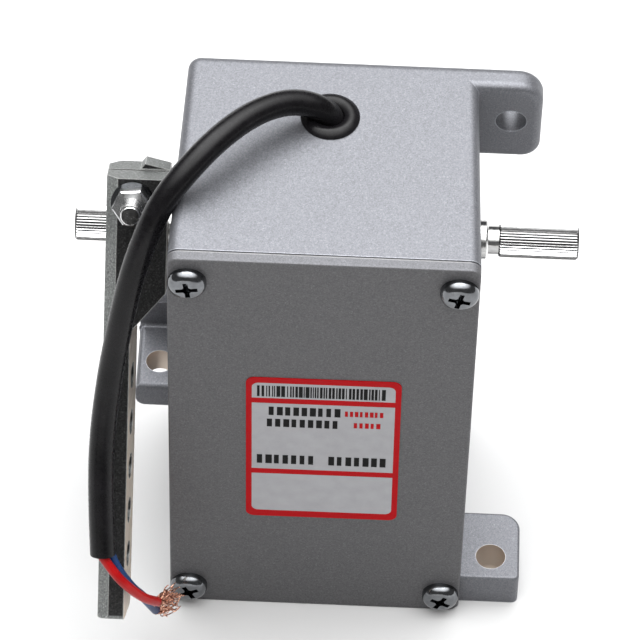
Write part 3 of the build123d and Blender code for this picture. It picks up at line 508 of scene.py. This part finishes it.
def strand_fan(name, node, route, fan, seed):
    """Many fine strands that leave the insulation together, twist and open out."""
    rng = random.Random(seed)
    end = mm(*route[-1])
    along = (end - mm(*route[-2])).normalized()
    side = along.cross(Vector((0, 0, 1))).normalized()
    other = along.cross(side)
    data = round_curve(name, STRAND_R * MM, 2, 4)
    fan = mm(*fan)
    for i in range(STRANDS):
        radius = BUNDLE_R * MM * math.sqrt((i + 0.5) / STRANDS)
        angle = i * GOLDEN_TURN
        out = side * math.cos(angle) + other * math.sin(angle)
        root = end - along * STRAND_INSET * MM + out * radius
        reach = fan * rng.uniform(0.5, 1.0)
        path = [root, root + (along * STRAND_LEAD[0] + out * STRAND_LEAD[1]) * MM]
        for share in (0.3, 0.5, 0.7, 0.87, 1.0):
            sway = Vector([rng.uniform(-1, 1) for _ in range(3)])
            curl = sway * (CURL + CURL_GROWTH * share) * MM
            path.append(root + reach * share + out * radius * STRAND_OPENING * share + curl)
        smooth_spline(data, path)
    return fixed_piece(name, data, "bare_copper", node)


red_fan = strand_fan("red_strand_fan", "red_strands", RED, (4.2, 4.7, -3.3), 3)
blue_fan = strand_fan("blue_strand_fan", "blue_strands", BLUE, (4.2, 3.9, -3.0), 8)


def winding_spring():
    """The return spring: a fixed copy of its CAD mesh, set where the CAD part stands."""
    node = frame["nodes"]["return_spring"]
    obj = bpy.data.objects.new("return_spring_coil", node.data.copy())
    obj.matrix_world = node.matrix_world.copy()
    bpy.context.collection.objects.link(obj)
    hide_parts("return_spring")
    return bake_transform(obj)


winding_spring()


# ---- label print, in millimetres from the label's centre -----------------------------------
LABEL_TURN = math.radians(0.3)
FIELD_HALF = 16.5
FIELD_CORNER_R = 1.6
CORNER_STEPS = 6
FIELD, DARK, RED_INK = 0, 1, 2  # the print's materials
# Fields: lower edge, upper edge, whether the lower and the upper corners are round.
FIELDS = ((19.3, 24.95, False, True), (-7.9, 17.4, False, False), (-24.4, -9.8, True, False))
BARS = (19.9, 24.0, -15.3, 14.4)  # lower edge, upper edge, left end, last start
# Rows of blocks: lower edge, upper edge, left end, right end, pitch, ink.
ROWS = ((12.9, 16.1, -12.6, 3.6, 1.9, DARK), (8.5, 11.5, -13.0, 4.9, 1.9, DARK),
        (-5.8, -2.4, -15.3, -1.4, 2.0, DARK), (-5.8, -2.4, 1.4, 14.6, 2.0, DARK),
        (13.3, 15.3, 5.0, 14.4, 1.15, RED_INK), (9.0, 11.0, 7.1, 14.2, 1.3, RED_INK))
FIELD_LIFT, INK_LIFT = 0.02, 0.04  # above the label's face


def corner(side, low, high, at_top, is_round):
    """Points of one corner of a field, counter-clockwise."""
    r = FIELD_CORNER_R if is_round else 0
    x, z = side * (FIELD_HALF - r), (high - r if at_top else low + r)
    if not r:
        return [(x, z)]
    start = {(-1, False): 180, (1, False): 270, (1, True): 0, (-1, True): 90}[(side, at_top)]
    turns = [math.radians(start + 90 * step / CORNER_STEPS) for step in range(CORNER_STEPS + 1)]
    return [(x + r * math.cos(a), z + r * math.sin(a)) for a in turns]


def label_print():
    """Plain fields and bars printed on the label: no words, only generic blocks."""
    low, high = (Vector(c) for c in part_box("rating_label"))
    centre = (low + high) / 2
    mesh = bpy.data.meshes.new("label_print")
    bm = bmesh.new()
    rng = random.Random(5)

    def face(points, ink, lift):
        verts = []
        for x, z in points:
            across = (x * math.cos(LABEL_TURN) - z * math.sin(LABEL_TURN)) * MM
            upward = (x * math.sin(LABEL_TURN) + z * math.cos(LABEL_TURN)) * MM
            verts.append(bm.verts.new((centre.x + across, low.y - lift * MM, centre.z + upward)))
        bm.faces.new(verts).material_index = ink

    def block(left, right, bottom, top, ink):
        face(((left, bottom), (right, bottom), (right, top), (left, top)), ink, INK_LIFT)

    for bottom, top, round_low, round_high in FIELDS:
        points = corner(-1, bottom, top, False, round_low) + corner(1, bottom, top, False, round_low)
        points += corner(1, bottom, top, True, round_high) + corner(-1, bottom, top, True, round_high)
        face(points, FIELD, FIELD_LIFT)
    bottom, top, x, last = BARS
    while x < last:
        width = rng.choice((0.25, 0.35, 0.6, 0.9))
        block(x, x + width, bottom, top, DARK)
        x += width + rng.choice((0.2, 0.3, 0.45))
    for bottom, top, x, right, pitch, ink in ROWS:
        while x < right - pitch * 0.5:
            block(x, x + pitch * rng.uniform(0.52, 0.76), bottom, top, ink)
            x += pitch
    bm.to_mesh(mesh)
    bm.free()
    for ink in (FIELD_INK, DARK_INK, mats["printed_film"]):
        mesh.materials.append(ink)
    obj = bpy.data.objects.new("label_print", mesh)
    bpy.context.collection.objects.link(obj)
    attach(obj, "actuator_body")
    return obj


label_print()


# ---- floor and light -----------------------------------------------------------------------
FLOOR_HALF = 3.0
SKY_UP = (0.0, 0.12, 0.99)
SKY_DIM, SKY_STRENGTH = 0.035, 4.9

floor_mesh = bpy.data.meshes.new("floor")
floor_mesh.from_pydata([(-FLOOR_HALF, -FLOOR_HALF, 0), (FLOOR_HALF, -FLOOR_HALF, 0),
                        (FLOOR_HALF, FLOOR_HALF, 0), (-FLOOR_HALF, FLOOR_HALF, 0)], [], [(0, 1, 2, 3)])
floor = bpy.data.objects.new("floor", floor_mesh)
bpy.context.collection.objects.link(floor)
floor_mat = Nodes("floor", Specular_IOR_Level=0.1)
floor_mesh.materials.append(floor_mat.finish(
    floor_mat.ramp(floor_mat.noise(3, 2), (0.3, grey(0.49)), (0.7, grey(0.51))),
    floor_mat.span(floor_mat.noise(40, 2), 0.8, 0.9)))


def area_light(name, at, aim, size, power, colour):
    light = bpy.data.lights.new(name, "AREA")
    light.shape = "RECTANGLE"
    light.size, light.size_y = size
    light.energy = power
    light.color = colour
    obj = bpy.data.objects.new(name, light)
    obj.location = at
    obj.rotation_euler = (Vector(aim) - Vector(at)).to_track_quat("-Z", "Y").to_euler()
    bpy.context.collection.objects.link(obj)


area_light("overhead", at=(0.0, 0.45, 1.8), aim=(0, 0, 0.08), size=(1.8, 1.3), power=17,
           colour=(0.97, 0.985, 1.0))
area_light("front_fill", at=(-0.3, -1.4, 0.12), aim=(0, 0, 0.03), size=(1.2, 0.2), power=0.9,
           colour=(1.0, 0.98, 0.95))


def studio_world():
    """A pale tent: bright above and behind, dim in front, so that upright faces are shaded."""
    world = bpy.data.worlds.new("studio")
    bpy.context.scene.world = world
    world.use_nodes = True
    tree = world.node_tree
    where = tree.nodes.new("ShaderNodeTexCoord")
    toward = tree.nodes.new("ShaderNodeVectorMath")
    toward.operation = "DOT_PRODUCT"
    toward.inputs[1].default_value = Vector(SKY_UP).normalized()
    tree.links.new(where.outputs["Generated"], toward.inputs[0])
    ramp = tree.nodes.new("ShaderNodeValToRGB")
    for e, (pos, tone) in zip(ramp.color_ramp.elements, ((0.50, SKY_DIM), (0.92, 1.0))):
        e.position = pos
        e.color = (*grey(tone), 1)
    ramp.color_ramp.interpolation = "EASE"
    tree.links.new(toward.outputs["Value"], ramp.inputs["Fac"])
    sky = tree.nodes["Background"]
    tree.links.new(ramp.outputs["Color"], sky.inputs["Color"])
    sky.inputs["Strength"].default_value = SKY_STRENGTH


studio_world()
bpy.context.scene.view_settings.view_transform = "Standard"
